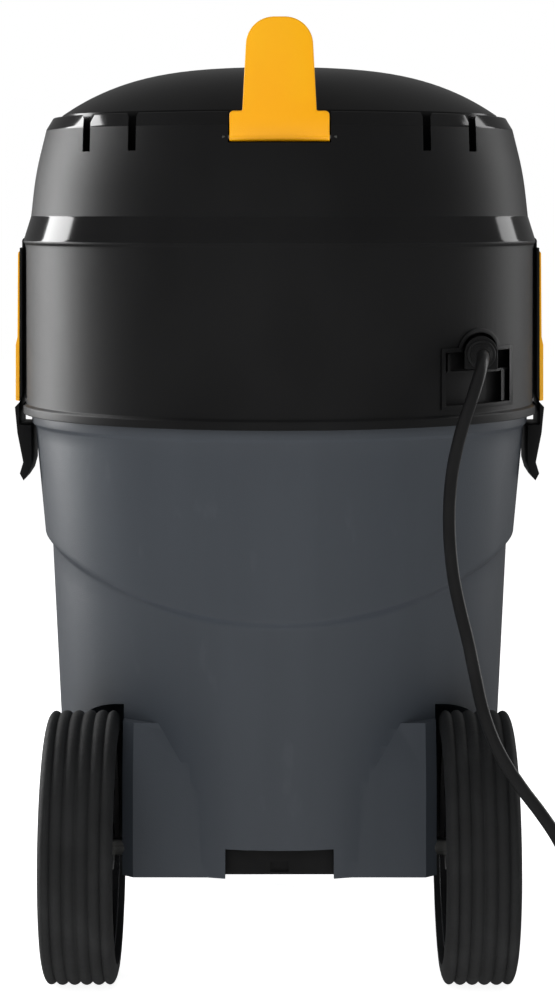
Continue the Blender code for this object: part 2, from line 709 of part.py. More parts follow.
def make_motor():
    housing = turned(
        "fan_housing",
        (
            (0.0720, 0.4580),
            (0.0720, BASE_HIGH + GAP),
            (EYE_R, BASE_HIGH + GAP),
            (EYE_R, 0.4145),
            (0.0690, 0.4145),
            (0.0690, 0.4550),
            (0.0080, 0.4550),
            (0.0080, 0.4580),
        ),
        WHITE,
        24,
    )
    for k in range(3):
        turn = Matrix.Rotation(math.pi * k / 3, 4, "Z")
        window = box(f"fan_window_{k}", (-0.08, -0.012, 0.4300), (0.08, 0.012, 0.4480))
        window.matrix_world = turn
        cut(housing, window)
    turned(
        "motor_housing",
        (
            (0.0530, 0.5930),
            (0.0530, 0.4583),
            (0.0500, 0.4583),
            (0.0500, 0.5900),
            (0.0060, 0.5900),
            (0.0060, 0.5930),
        ),
        WHITE,
        24,
    )
    turned("stator", ring(0.0300, 0.0495, 0.4900, 0.5500), COPPER, 24)
    for name, low in (("lower_bearing", 0.4584), ("upper_bearing", 0.5805)):
        turned(name, ring(SHAFT_R + GAP, 0.0110, low, low + 0.009), STEEL, 16)
    shaft = (
        (0.0, 0.5880),
        (SHAFT_R, 0.5880),
        (SHAFT_R, 0.5720),
        (0.0140, 0.5720),
        (0.0140, 0.5560),
        (0.0060, 0.5560),
        (0.0060, 0.5480),
        (0.0285, 0.5480),
        (0.0285, 0.4920),
        (0.0060, 0.4920),
        (0.0060, 0.4690),
        (SHAFT_R, 0.4690),
        (SHAFT_R, 0.4190),
        (0.0, 0.4190),
    )
    turned("motor_rotor", shaft, COPPER, 16)
    fan = turned(
        "suction_fan",
        (
            (0.0620, 0.4530),
            (0.0620, 0.4510),
            (0.0100, 0.4510),
            (0.0100, 0.4300),
            (SHAFT_R + GAP, 0.4300),
            (SHAFT_R + GAP, 0.4530),
        ),
        STEEL,
        20,
    )
    for k in range(4):
        blade = box(f"fan_blade_{k}", (-0.0600, -0.0010, 0.4320), (0.0600, 0.0010, 0.4520))
        blade.matrix_world = Matrix.Rotation(math.pi * k / 4, 4, "Z")
        cut(blade, rod(f"blade_clear_{k}", (0, 0, 0.42), 0.05, 0.0070, sides=12))
        join(fan, blade)


def make_filter():
    cage = turned(
        "float_cage",
        (
            (0.0300, BASE_LOW - GAP),
            (0.0300, 0.3450),
            (0.0055, 0.3450),
            (0.0055, 0.3475),
            (0.0275, 0.3475),
            (0.0275, BASE_LOW - GAP),
        ),
        WHITE,
        16,
    )
    for k in range(3):
        window = box(f"cage_window_{k}", (-0.04, -0.009, 0.3560), (0.04, 0.009, 0.3960))
        window.matrix_world = Matrix.Rotation(math.pi * k / 3, 4, "Z")
        cut(cage, window)
    turned(
        "float_ball",
        (
            (0.0, 0.3860),
            (0.0130, 0.3830),
            (0.0215, 0.3750),
            (0.0235, 0.3665),
            (0.0215, 0.3580),
            (0.0130, 0.3510),
            (0.0, 0.3480),
        ),
        WHITE,
        20,
    )
    pleats, outer, inner = 30, 0.0720, 0.0630
    outline = []
    for i in range(pleats):
        for radius, share in ((outer, 0.0), (inner, 0.5)):
            angle = 2 * math.pi * (i + share) / pleats
            outline.append((radius * math.cos(angle), radius * math.sin(angle)))
    paper = plate("filter_cartridge", outline, 0.2450, BASE_LOW - GAP - 0.0030, PAPER)
    cut(paper, rod("filter_bore", (0, 0, 0.20), 0.25, 0.0450, sides=24))
    turned("filter_end_cap", ring(STUD_R + GAP, 0.0740, 0.2400, 0.2447), BLACK, 24)
    rod("filter_stud", (0, 0, 0.2300), 0.1175, STUD_R, finish=STEEL, sides=12)
    turned("filter_nut", ring(STUD_R + GAP, 0.0190, 0.2290, 0.2397), YELLOW, 12)


# ---------------------------------------------------------------- cord


def make_cord():
    tube("mains_cord", CORD_ROUTE, CORD_R, RUBBER, 0.020)
    tube("cord_tail", TAIL_ROUTE, CORD_R, RUBBER, 0.020)
    bulge = 0.006
    turned(
        "cord_coil",
        (
            (COIL_OUT - bulge, COIL_HIGH),
            (COIL_OUT, COIL_HIGH - bulge),
            (COIL_OUT, GAP),
            (COIL_IN, GAP),
            (COIL_IN, COIL_HIGH - bulge),
            (COIL_IN + bulge, COIL_HIGH),
        ),
        RUBBER,
        24,
        at=(COIL_X, COIL_Y, 0),
    )
    plug = rod("plug_body", (PLUG_X, PLUG_Y, PLUG_Z), 0.026, 0.0060, "Y", RUBBER, 16, end_radius=0.0085)
    grip_half, low, high = 0.012, PLUG_Z - 0.0099, PLUG_Z + 0.0099
    grip = box(
        "plug_grip",
        (PLUG_X - grip_half, PLUG_Y + 0.022, low),
        (PLUG_X + grip_half, PLUG_Y + 0.056, high),
    )
    bevel(grip, 0.003)
    join(plug, grip)
    face = PLUG_Y + 0.056 + GAP
    for side, word in ((-1, "left"), (1, "right")):
        x = PLUG_X + side * 0.00635
        low, high = (x - 0.00075, face, PLUG_Z - 0.0005), (x + 0.00075, face + 0.0175, PLUG_Z + 0.0058)
        box(f"plug_blade_{word}", low, high, STEEL)
    rod("plug_ground_pin", (PLUG_X, face, PLUG_Z - 0.0055), 0.0205, 0.0024, "Y", STEEL, 12)


clear_scene()
make_tank()
make_inlet()
both_sides(make_wheel)
make_axle()
both_sides(make_caster)
make_head()
make_dome()
make_hook()
both_sides(make_latch)
make_cord_entry()
make_switch()
make_grille()
make_base()
make_motor()
make_filter()
make_cord()
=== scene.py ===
"""Shop vacuum, dressed for show. Metres, +Z up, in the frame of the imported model.

The cord, the hook and the big wheels are at the back, which faces -Y.
"""

import math

import bmesh
import bpy
from mathutils import Matrix, Vector


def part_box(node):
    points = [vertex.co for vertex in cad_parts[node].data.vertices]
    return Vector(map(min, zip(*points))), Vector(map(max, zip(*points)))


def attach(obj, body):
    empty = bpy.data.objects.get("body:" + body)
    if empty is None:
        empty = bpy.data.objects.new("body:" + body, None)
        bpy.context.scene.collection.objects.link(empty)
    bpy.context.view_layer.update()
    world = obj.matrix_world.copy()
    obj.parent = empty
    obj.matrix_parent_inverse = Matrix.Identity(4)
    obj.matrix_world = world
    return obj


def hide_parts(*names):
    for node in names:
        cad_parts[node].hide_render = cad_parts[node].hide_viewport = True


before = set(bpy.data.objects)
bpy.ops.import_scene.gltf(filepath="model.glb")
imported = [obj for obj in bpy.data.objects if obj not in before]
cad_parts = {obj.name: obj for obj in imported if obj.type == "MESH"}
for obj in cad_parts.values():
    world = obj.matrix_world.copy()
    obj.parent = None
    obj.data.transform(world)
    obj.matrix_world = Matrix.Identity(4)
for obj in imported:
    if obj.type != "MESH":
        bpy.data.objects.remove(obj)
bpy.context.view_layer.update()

TAU = 2 * math.pi

# ------------------------------------------------------------------ camera, lights and floor

CAMERA_AT = (0.0, -2.1, 0.5526)


def look_at(obj, target):
    obj.rotation_euler = (Vector(target) - obj.location).to_track_quat("-Z", "Y").to_euler()


def add_camera():
    lens = bpy.data.cameras.new("studio_camera")
    lens.sensor_width = 36
    lens.lens = 98.28
    lens.shift_x, lens.shift_y = -0.0020, -0.290
    camera = bpy.data.objects.new("studio_camera", lens)
    camera.location = CAMERA_AT
    camera.rotation_euler = (math.pi / 2, 0, 0)
    bpy.context.scene.collection.objects.link(camera)
    bpy.context.scene.camera = camera


def add_softbox(name, at, target, size, watts, mirrored=True):
    light = bpy.data.lights.new(name, "AREA")
    light.shape = "RECTANGLE"
    light.size, light.size_y = size
    light.energy = watts
    obj = bpy.data.objects.new(name, light)
    obj.location = at
    obj.visible_glossy = mirrored
    look_at(obj, target)
    bpy.context.scene.collection.objects.link(obj)


# ------------------------------------------------------------------ node trees


class Wire:
    """A number that runs through a node tree. Arithmetic on it adds Math nodes."""

    def __init__(self, graph, socket):
        self.graph, self.socket = graph, socket

    def math(self, operation, *terms):
        return self.graph.node("ShaderNodeMath", {"operation": operation}, dict(enumerate(terms)))

    def __add__(self, other):
        return self.math("ADD", self, other)

    __radd__ = __add__

    def __sub__(self, other):
        return self.math("SUBTRACT", self, other)

    def __rsub__(self, other):
        return self.math("SUBTRACT", other, self)

    def __mul__(self, other):
        return self.math("MULTIPLY", self, other)

    __rmul__ = __mul__

    def __truediv__(self, other):
        return self.math("DIVIDE", self, other)

    def __rtruediv__(self, other):
        return self.math("DIVIDE", other, self)


class Graph:
    """A node tree under construction."""

    def __init__(self, tree):
        self.tree = tree

    def node(self, kind, settings=None, inputs=None, out=0):
        """Adds a node: its settings, then its sockets' values or links. Returns one output as a Wire."""
        made = self.tree.nodes.new(kind)
        for key, value in (settings or {}).items():
            if key == "stops":
                ramp = made.color_ramp
                while len(ramp.elements) < len(value):
                    ramp.elements.new(0.5)
                for element, (place, level) in zip(ramp.elements, value):
                    element.position = place
                    element.color = (level, level, level, 1)
            else:
                setattr(made, key, value)
        for key, value in (inputs or {}).items():
            if isinstance(value, Wire):
                self.tree.links.new(value.socket, made.inputs[key])
            elif value is not None:
                made.inputs[key].default_value = value
        return Wire(self, made.outputs[out])


class Finish(Graph):
    """A material: one Principled shader, with its patterns on object coordinates."""

    def __init__(self, name, colour, roughness, metallic=0.0, **fixed):
        self.material = bpy.data.materials.new(name)
        self.material.use_nodes = True
        super().__init__(self.material.node_tree)
        self.shader = self.tree.nodes["Principled BSDF"]
        self.colour = (*colour, 1)
        self.set("Base Color", self.colour)
        self.set("Roughness", roughness)
        self.set("Metallic", metallic)
        for key, value in fixed.items():
            self.set(key.replace("_", " "), value)
        self.place = self.node("ShaderNodeTexCoord", out="Object")
        self.bumps = None

    def set(self, socket, value):
        if isinstance(value, Wire):
            self.tree.links.new(value.socket, self.shader.inputs[socket])
        else:
            self.shader.inputs[socket].default_value = value

    def axis(self, letter):
        return self.node("ShaderNodeSeparateXYZ", inputs={0: self.place}, out=letter)

    def noise(self, scale, detail=2.0, stretch=(1, 1, 1)):
        spot = self.node("ShaderNodeMapping", inputs={"Vector": self.place, "Scale": stretch})
        inputs = {"Vector": spot, "Scale": scale, "Detail": detail}
        return self.node("ShaderNodeTexNoise", {"noise_dimensions": "3D"}, inputs)

    def ramp(self, value, *stops):
        """A grey level that follows value through its stops."""
        made = self.node("ShaderNodeValToRGB", {"stops": stops}, {0: value})
        return self.node("ShaderNodeRGBToBW", inputs={0: made})

    def mixed(self, share, first, second):
        """Colour first where share is 0, second where it is 1."""
        first, second = (c if isinstance(c, Wire) else (*c[:3], 1) for c in (first, second))
        return self.node("ShaderNodeMix", {"data_type": "RGBA"}, {0: share, 6: first, 7: second}, out=2)

    def bump(self, height, depth, strength=1.0):
        inputs = {"Height": height, "Distance": depth, "Strength": strength, "Normal": self.bumps}
        self.bumps = self.node("ShaderNodeBump", inputs=inputs)
        self.set("Normal", self.bumps)


def grained(name, colour, roughness, grain=1400.0, depth=0.00006, cloud=0.05, metallic=0.0, **fixed):
    """A moulded finish: fine spark grain, a cloudy gloss and a slight drift of colour."""
    made = Finish(name, colour, roughness, metallic, **fixed)
    fine = made.noise(grain, 3.0)
    slow = made.noise(14.0, 3.0, (1, 1, 0.6))
    made.set("Roughness", roughness - cloud + 2 * cloud * slow + 0.10 * (fine - 0.5))
    paler = [min(1.0, c * 1.18 + 0.002) for c in colour]
    made.set("Base Color", made.mixed(made.ramp(slow, (0.35, 0.0), (0.70, 1.0)), colour, paler))
    made.bump(fine, depth)
    return made


BLACK = (0.0052, 0.0052, 0.0055)
TANK_GREY = (0.050, 0.058, 0.070)
YELLOW = (1.0, 0.430, 0.0)
BAND_LOW, BAND_HIGH, CROWN_LOW = 0.5292, 0.5478, 0.6125


def head_finish():
    """Satin black with a glossy band round the shoulder and a glossy bevel round the crown."""
    made = grained("head_satin_black", BLACK, 0.46, 1500.0, 0.00007, 0.05)
    height = made.axis("Z")
    band = made.ramp((height - 0.5) * 5, *steps_at((BAND_LOW, BAND_HIGH), 0.5, 5))
    crown = made.ramp((height - 0.5) * 5, ((CROWN_LOW - 0.5) * 5, 0.0), ((CROWN_LOW + 0.0006 - 0.5) * 5, 1.0))
    gloss = made.node("ShaderNodeMath", {"operation": "MAXIMUM"}, {0: band, 1: crown})
    slow = made.noise(9.0, 3.0, (1, 1, 0.5))
    fine = made.noise(1500.0, 3.0)
    satin = 0.38 + 0.14 * slow + 0.12 * (fine - 0.5)
    made.set("Roughness", satin * (1 - gloss) + gloss * 0.09)
    made.bumps = None
    made.bump(fine * (1 - gloss), 0.00007)
    return made


def steps_at(edges, base, scale, soft=0.0005):
    """Ramp stops that are 1 between the two heights and 0 outside them."""
    low, high = edges
    return (
        ((low - base) * scale, 0.0),
        ((low + soft - base) * scale, 1.0),
        ((high - base) * scale, 1.0),
        ((high + soft - base) * scale, 0.0),
    )


def rubber_finish(name, colour, roughness, depth):
    made = Finish(name, colour, roughness)
    fine = made.noise(900.0, 3.0)
    coarse = made.noise(260.0, 2.0)
    dust = made.ramp(made.noise(30.0, 4.0), (0.45, 0.0), (0.75, 1.0))
    made.set("Base Color", made.mixed(dust * 0.35, colour, [c * 2.0 + 0.004 for c in colour]))
    made.set("Roughness", roughness + 0.14 * (coarse - 0.5))
    made.bump(coarse, depth * 1.6)
    made.bump(fine, depth)
    return made


def brushed_finish(name, colour, roughness):
    made = Finish(name, colour, roughness, 1.0)
    lines = made.noise(500.0, 2.0, (0.05, 1, 1))
    made.set("Roughness", roughness + 0.22 * (lines - 0.5))
    made.bump(lines, 0.00003)
    return made


def paper_finish():
    made = Finish("pleated_paper", (0.62, 0.585, 0.50), 0.9)
    fibre = made.noise(1200.0, 4.0, (1, 1, 0.2))
    dirt = made.ramp(made.noise(25.0, 4.0), (0.40, 0.0), (0.80, 1.0))
    made.set("Base Color", made.mixed(dirt * 0.5, (0.66, 0.63, 0.55), (0.42, 0.38, 0.31)))
    made.bump(fibre, 0.0001)
    return made


def iron_finish():
    """Stacked laminations seen on edge, as fine level lines."""
    made = Finish("laminated_iron", (0.24, 0.17, 0.12), 0.45, 0.85)
    wave = made.node("ShaderNodeMath", {"operation": "SINE"}, {0: made.axis("Z") * (TAU / 0.0011)})
    made.set("Roughness", 0.42 + 0.10 * wave)
    made.bump(wave, 0.00015)
    return made


def tank_finish():
    made = grained("tank_blue_grey", TANK_GREY, 0.43, 1100.0, 0.00009, 0.04)
    flow = made.noise(26.0, 3.0, (1, 1, 0.12))
    streak = made.ramp(flow, (0.42, 0.0), (0.62, 1.0))
    scuff = made.ramp(made.noise(70.0, 5.0, (1, 1, 0.4)), (0.66, 0.0), (0.74, 1.0))
    base = made.mixed(streak * 0.30, TANK_GREY, (0.060, 0.069, 0.083))
    made.set("Base Color", made.mixed(scuff * 0.14, base, (0.095, 0.105, 0.120)))
    return made


HEAD = head_finish()
DOME = grained("dome_black", (0.0030, 0.0030, 0.0032), 0.20, 900.0, 0.00002, 0.05)
MOULDED = grained("moulded_black", BLACK, 0.44)
GLOSSY = grained("glossy_black", (0.012, 0.012, 0.013), 0.20, 700.0, 0.00002, 0.04)
TANK = tank_finish()
HOOK = grained("hook_yellow", YELLOW, 0.36, 1300.0, 0.00004, 0.05)
TYRE = rubber_finish("tyre_rubber", (0.0150, 0.0155, 0.0160), 0.72, 0.00022)
SEAL = rubber_finish("seal_rubber", (0.020, 0.020, 0.020), 0.62, 0.00008)
CORD = rubber_finish("cord_rubber", (0.0085, 0.0085, 0.0088), 0.33, 0.00003)
STEEL = brushed_finish("zinc_steel", (0.62, 0.62, 0.60), 0.30)
IRON = iron_finish()
PAPER = paper_finish()
NATURAL = grained("natural_plastic", (0.62, 0.61, 0.57), 0.46, 800.0, 0.00005)
STRAP = rubber_finish("woven_strap", (0.012, 0.012, 0.013), 0.85, 0.0002)
FLOOR = grained("pale_floor", (0.93, 0.93, 0.93), 0.85, 60.0, 0.00005, 0.02, Emission_Strength=0.90)
FLOOR.set("Emission Color", (1, 1, 1, 1))


# ------------------------------------------------------------------ making and joining shapes


def new_object(name, mesh):
    obj = bpy.data.objects.new(name, mesh)
    bpy.context.scene.collection.objects.link(obj)
    return obj


def closed_mesh(name, bm, smooth=35, weld=0.000005):
    """The bmesh as a mesh: doubles merged, faces outwards, smooth up to that angle."""
    bmesh.ops.remove_doubles(bm, verts=bm.verts, dist=weld)
    bmesh.ops.recalc_face_normals(bm, faces=bm.faces)
    mesh = bpy.data.meshes.new(name)
    bm.to_mesh(mesh)
    bm.free()
    mesh.shade_smooth()
    mesh.set_sharp_from_angle(angle=math.radians(smooth))
    return mesh


def baked(obj, smooth=None):
    """Turns the object's modifiers into its own plain mesh."""
    bpy.context.view_layer.update()
    graph = bpy.context.evaluated_depsgraph_get()
    mesh = bpy.data.meshes.new_from_object(obj.evaluated_get(graph))
    obj.modifiers.clear()
    obj.data = mesh
    if smooth is not None:
        mesh.shade_smooth()
        mesh.set_sharp_from_angle(angle=math.radians(smooth))
    return obj


def dress(obj, finish):
    obj.data.materials.clear()
    obj.data.materials.append(finish.material)
    return obj


def fit(obj, finish, body, slot, *nodes):
    """A finished piece: its material, the body that carries it, its slot (not used) and the CAD nodes it
    stands for.
    """
    dress(obj, finish)
    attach(obj, body)
    if nodes:
        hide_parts(*nodes)
    return obj


def filleted(points, radius, steps=4, closed=False):
    """The outline with each corner rounded, by up to that radius. A point may carry its own radius."""
    count, out = len(points), []
    for i, point in enumerate(points):
        here = Vector(point[:2])
        r = point[2] if len(point) > 2 else radius
        if not closed and i in (0, count - 1) or r == 0:
            out.append(tuple(here))
            continue
        before, after = Vector(points[i - 1][:2]), Vector(points[(i + 1) % count][:2])
        reach = min(r, 0.48 * (before - here).length, 0.48 * (after - here).length)
        start = here + (before - here).normalized() * reach
        end = here + (after - here).normalized() * reach
        for k in range(steps + 1):
            t = k / steps
            out.append(tuple(start * (1 - t) ** 2 + here * 2 * t * (1 - t) + end * t * t))
    return out


AXES = {
    "X": Matrix.Rotation(math.pi / 2, 4, "Y"),
    "Y": Matrix.Rotation(-math.pi / 2, 4, "X"),
    "Z": Matrix.Identity(4),
}


def turned(name, profile, sides=96, axis="Z", at=(0, 0, 0), mirror=False, smooth=35):
    """A turned solid from a closed (radius, height) profile, or one whose ends are on the axis."""
    bm = bmesh.new()
    place = Matrix.Translation(at) @ AXES[axis] @ Matrix.Rotation(math.pi if mirror else 0, 4, "X")
    rings = []
    for i in range(sides):
        turn = TAU * i / sides
        cos, sin = math.cos(turn), math.sin(turn)
        rings.append([bm.verts.new(place @ Vector((r * cos, r * sin, h))) for r, h in profile])
    count = len(profile)
    for i in range(sides):
        one, two = rings[i], rings[(i + 1) % sides]
        for k in range(count):
            m = (k + 1) % count
            if profile[k][0] or profile[m][0]:
                bm.faces.new((one[k], one[m], two[m], two[k]))
    bmesh.ops.remove_doubles(bm, verts=bm.verts, dist=0.000002)
    bmesh.ops.dissolve_degenerate(bm, dist=0.0000005, edges=bm.edges)
    return new_object(name, closed_mesh(name, bm, smooth))


def lofted(name, rings, smooth=35):
    """A closed solid through rings of equal counts of points."""
    bm = bmesh.new()
    made = [[bm.verts.new(point) for point in ring] for ring in rings]
    count = len(made[0])
    for upper, lower in zip(made, made[1:]):
        for i in range(count):
            j = (i + 1) % count
            bm.faces.new((upper[i], upper[j], lower[j], lower[i]))
    bm.faces.new(made[0])
    bm.faces.new(made[-1])
    return new_object(name, closed_mesh(name, bm, smooth))


def extruded(name, outline, low, high, axis="Z", smooth=35):
    """A flat outline made solid from low to high along the axis."""
    put = {
        "X": lambda a, b, c: (c, a, b),
        "Y": lambda a, b, c: (a, c, b),
        "Z": lambda a, b, c: (a, b, c),
    }[axis]
    bm = bmesh.new()
    lower, upper = ([bm.verts.new(put(a, b, c)) for a, b in outline] for c in (low, high))
    for i in range(len(outline)):
        j = (i + 1) % len(outline)
        bm.faces.new((lower[i], lower[j], upper[j], upper[i]))
    bm.faces.new(lower)
    bm.faces.new(upper)
    return new_object(name, closed_mesh(name, bm, smooth))


def block(name, low, high):
    corners = [(low[0], low[1]), (high[0], low[1]), (high[0], high[1]), (low[0], high[1])]
    return extruded(name, corners, low[2], high[2])


def rod(name, start, length, radius, axis, sides=48):
    return turned(name, ((0, length), (radius, length), (radius, 0), (0, 0)), sides, axis, start)


def softened(obj, width, segments=2, angle=40):
    """Rounds the object's sharp edges."""
    made = obj.modifiers.new("Soft edges", "BEVEL")
    made.width = width
    made.segments = segments
    made.limit_method = "ANGLE"
    made.angle_limit = math.radians(angle)
    made.harden_normals = False
    return baked(obj, 35)


def combined(obj, operation, others, smooth=35):
    """Adds to or cuts from the object, and removes the others."""
    for other in others:
        made = obj.modifiers.new("Combine", "BOOLEAN")
        made.operation = operation
        made.object = other
        made.solver = "EXACT"
    baked(obj, smooth)
    for other in others:
        bpy.data.objects.remove(other, do_unlink=True)
    return obj


def cut(obj, *others, smooth=35):
    return combined(obj, "DIFFERENCE", others, smooth)


def add(obj, *others, smooth=35):
    return combined(obj, "UNION", others, smooth)


def arc(centre, radius, first, last, count):
    for i in range(count):
        angle = math.radians(first + (last - first) * i / (count - 1))
        yield centre[0] + radius * math.cos(angle), centre[1] + radius * math.sin(angle)


def refined(node, width, finish, body, slot, segments=2, angle=40):
    """A merged copy of a CAD node with its edges rounded, which stands for the node."""
    bm = bmesh.new()
    bm.from_mesh(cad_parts[node].data)
    bmesh.ops.remove_doubles(bm, verts=bm.verts, dist=0.000005)
    bmesh.ops.dissolve_limit(bm, angle_limit=math.radians(0.5), verts=bm.verts, edges=bm.edges)
    obj = new_object(f"{node}_moulding", closed_mesh(node, bm))
    return fit(softened(obj, width, segments, angle), finish, body, slot, node)


def repaint(finish, *nodes):
    for node in nodes:
        dress(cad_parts[node], finish)


SIDES = ((-1, "left"), (1, "right"))

# ------------------------------------------------------------------ mains cord

CORD_R = 0.0045
COIL_X, COIL_Y, COIL_RUN_R = 0.285, -0.140, 0.0750
COIL_COLUMNS, COIL_LAYERS, COIL_LOWEST, COIL_PITCH = (0.0650, 0.0559, 0.0468), 4, 0.0048, 0.0091
CORD_ROUTE = (
    (0.1446, -0.1583, 0.4490),
    (0.1440, -0.1680, 0.4482),
    (0.1424, -0.1800, 0.4440),
    (0.1392, -0.1905, 0.4350),
    (0.1345, -0.1975, 0.4220),
    (0.1290, -0.2010, 0.4070),
    (0.1240, -0.2025, 0.3900),
    (0.1200, -0.2030, 0.3700),
    (0.1180, -0.2035, 0.3470),
    (0.1182, -0.2050, 0.3230),
    (0.1205, -0.2080, 0.2990),
    (0.1250, -0.2130, 0.2760),
    (0.1300, -0.2190, 0.2550),
    (0.1345, -0.2260, 0.2320),
    (0.1390, -0.2330, 0.2110),
    (0.1455, -0.2400, 0.1920),
    (0.1545, -0.2460, 0.1750),
    (0.1655, -0.2500, 0.1590),
    (0.1770, -0.2515, 0.1440),
    (0.1880, -0.2515, 0.1275),
    (0.1975, -0.2500, 0.1080),
    (0.2050, -0.2470, 0.0870),
    (0.2115, -0.2425, 0.0650),
    (0.2190, -0.2360, 0.0430),
    (0.2300, -0.2285, 0.0230),
    (0.2460, -0.2218, 0.0095),
    (0.2650, -0.2167, 0.0052),
    (COIL_X, COIL_Y - COIL_RUN_R, 0.0049),
)
TAIL_ROUTE = (
    (COIL_X + COIL_RUN_R, COIL_Y, 0.0321),
    (0.3598, -0.1230, 0.0305),
    (0.3588, -0.1060, 0.0250),
    (0.3570, -0.0890, 0.0165),
    (0.3545, -0.0720, 0.0085),
    (0.3524, -0.0560, 0.0078),
    (0.3512, -0.0410, 0.0100),
    (0.3510, -0.0280, 0.0105),
)


def eased(share):
    share = min(1.0, max(0.0, share))
    return share * share * (3 - 2 * share)


def smooth_route(route, spacing):
    """Points at about that spacing on a smooth curve through the route's own points."""
    points = [Vector(p) for p in route]
    ends = [2 * points[0] - points[1], *points, 2 * points[-1] - points[-2]]
    fine = []
    for before, start, end, after in zip(ends, ends[1:], ends[2:], ends[3:]):
        steps = max(1, round((end - start).length / spacing))
        for i in range(steps):
            t = i / steps
            fine.append(
                0.5
                * (
                    2 * start
                    + (end - before) * t
                    + (2 * before - 5 * start + 4 * end - after) * t**2
                    + (3 * start - before - 3 * end + after) * t**3
                )
            )
    return [*fine, points[-1]]


def coil_points(per_turn=36):
    """Layers of turns, wound inwards and outwards by turns, anticlockwise from the south side to the east."""
    columns = len(COIL_COLUMNS)
    places = []
    for layer in range(COIL_LAYERS):
        order = COIL_COLUMNS if layer % 2 == 0 else COIL_COLUMNS[::-1]
        places += [(radius, COIL_LOWEST + COIL_PITCH * layer) for radius in order]
    places.append(places[-1])
    turns = COIL_LAYERS * columns
    for i in range(1, turns * per_turn + per_turn // 4):
        t = i / per_turn
        turn = int(t)
        if turn < turns:
            here, after, share = places[turn], places[turn + 1], eased((t - turn - 0.75) * 4)
        else:
            here, after, share = places[-1], (COIL_RUN_R, places[-1][1]), eased((t - turns) * 4)
        radius, z = (a + (b - a) * share for a, b in zip(here, after))
        radius += (COIL_RUN_R - COIL_COLUMNS[0]) * (1 - eased(t / 0.45))
        angle = TAU * (t - 0.25)
        yield Vector((COIL_X + radius * math.cos(angle), COIL_Y + radius * math.sin(angle), z))


def make_cord():
    points = [*smooth_route(CORD_ROUTE, 0.004), *coil_points(), *smooth_route(TAIL_ROUTE, 0.004)]
    line = bpy.data.curves.new("mains_lead", "CURVE")
    line.dimensions = "3D"
    line.bevel_depth = CORD_R
    line.bevel_resolution = 5
    line.use_fill_caps = True
    spline = line.splines.new("POLY")
    spline.points.add(len(points) - 1)
    for spot, point in zip(spline.points, points):
        spot.co = (*point, 1)
    lead = new_object("mains_lead", line)
    fit(lead, CORD, "vacuum", "cord_rubber", "mains_cord", "cord_coil", "cord_tail")
    plug = [refined("plug_body", 0.0012, CORD, "vacuum", "cord_rubber", 3)]
    for node in ("plug_blade_left", "plug_blade_right", "plug_ground_pin"):
        plug.append(refined(node, 0.0002, STEEL, "vacuum", "steel", 1))
    tie = make_tie()
    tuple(CORD_ROUTE[0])


def make_tie():
    """A strap round the bundle of turns, on its north-west side."""
    inner, outer = COIL_COLUMNS[-1] - CORD_R, COIL_COLUMNS[0] + CORD_R
    top = COIL_LOWEST + (COIL_LAYERS - 1) * COIL_PITCH + CORD_R
    thick, half = 0.0012, 0.008
    near, far, over = inner - thick, outer + thick, top + thick
    wide = [(near, 0.0001), (far, 0.0001), (far, over), (near, over)]
    close = [(inner, 0.0008), (outer, 0.0008), (outer, top), (inner, top)]
    loops = [filleted(outline, 0.006, 5, True) for outline in (wide, close)]
    away = math.radians(135)
    along = Vector((math.cos(away), math.sin(away), 0))
    across = Vector((-along.y, along.x, 0))
    bm = bmesh.new()
    rings = []
    for outline, shift in ((loops[0], -half), (loops[0], half), (loops[1], half), (loops[1], -half)):
        ring = []
        for out, z in outline:
            spot = Vector((COIL_X, COIL_Y, z)) + along * out + across * shift
            ring.append(bm.verts.new(spot))
        rings.append(ring)
    for one, two in zip(rings, rings[1:] + rings[:1]):
        for i in range(len(one)):
            j = (i + 1) % len(one)
            bm.faces.new((one[i], one[j], two[j], two[i]))
    return fit(new_object("cord_tie", closed_mesh("cord_tie", bm)), STRAP, "vacuum", "cord_rubber")


# ------------------------------------------------------------------ tank

TANK_SIDES = 144
TANK_RIM, TANK_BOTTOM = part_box("tank")[1][2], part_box("tank")[0][2]
FLOOR_TOP, FLOOR_UNDER, WALL = 0.110, 0.106, 0.004
STEP_LOW, STEP_SWEEP = 0.258, 0.046
AXLE_Y, AXLE_Z, AXLE_R = -0.140, 0.096, 0.006
HOUSING_BACK = -0.1530
WELL_R, WELL_IN = 0.1005, 0.1125
INLET_Z, INLET_BORE, INLET_END = 0.330, 0.0285, 0.236
NOTCH_HALF, NOTCH_TOP = 0.0386, 0.098
# Each row of the drum's skin is (share of the step line, height or height over that line, radius).
DRUM_ROWS = (
    (0, TANK_RIM, 0.1889),
    (0, 0.3994, 0.1895),
    (0, 0.3918, 0.1895),
    (0, 0.3912, 0.1893),
    (0, 0.3892, 0.1871),
    (0, 0.3882, 0.1867),
    (1, 0.0075, 0.1794),
    (1, 0.0048, 0.17915),
    (1, 0.0036, 0.1788),
    (1, 0.0026, 0.1781),
    (1, 0.0014, 0.1768),
    (1, 0.0000, 0.1755),
    (1, -0.0012, 0.1746),
    (1, -0.0024, 0.1740),
    (1, -0.0040, 0.17365),
    (0, 0.170, 0.1672),
    (0, TANK_BOTTOM + 0.0012, 0.1625),
    (0, TANK_BOTTOM, 0.1614),
)
DRUM_STEPS = {(5, 6): 10, (14, 15): 8, (15, 16): 8}


def drum_ring(row, inset=0.0):
    follows, height, radius = row
    ring = []
    for i in range(TANK_SIDES):
        angle = TAU * i / TANK_SIDES
        z = height + follows * (STEP_LOW + STEP_SWEEP * math.sin(angle) ** 2)
        r = radius - inset
        ring.append(Vector((r * math.sin(angle), -r * math.cos(angle), z)))
    return ring


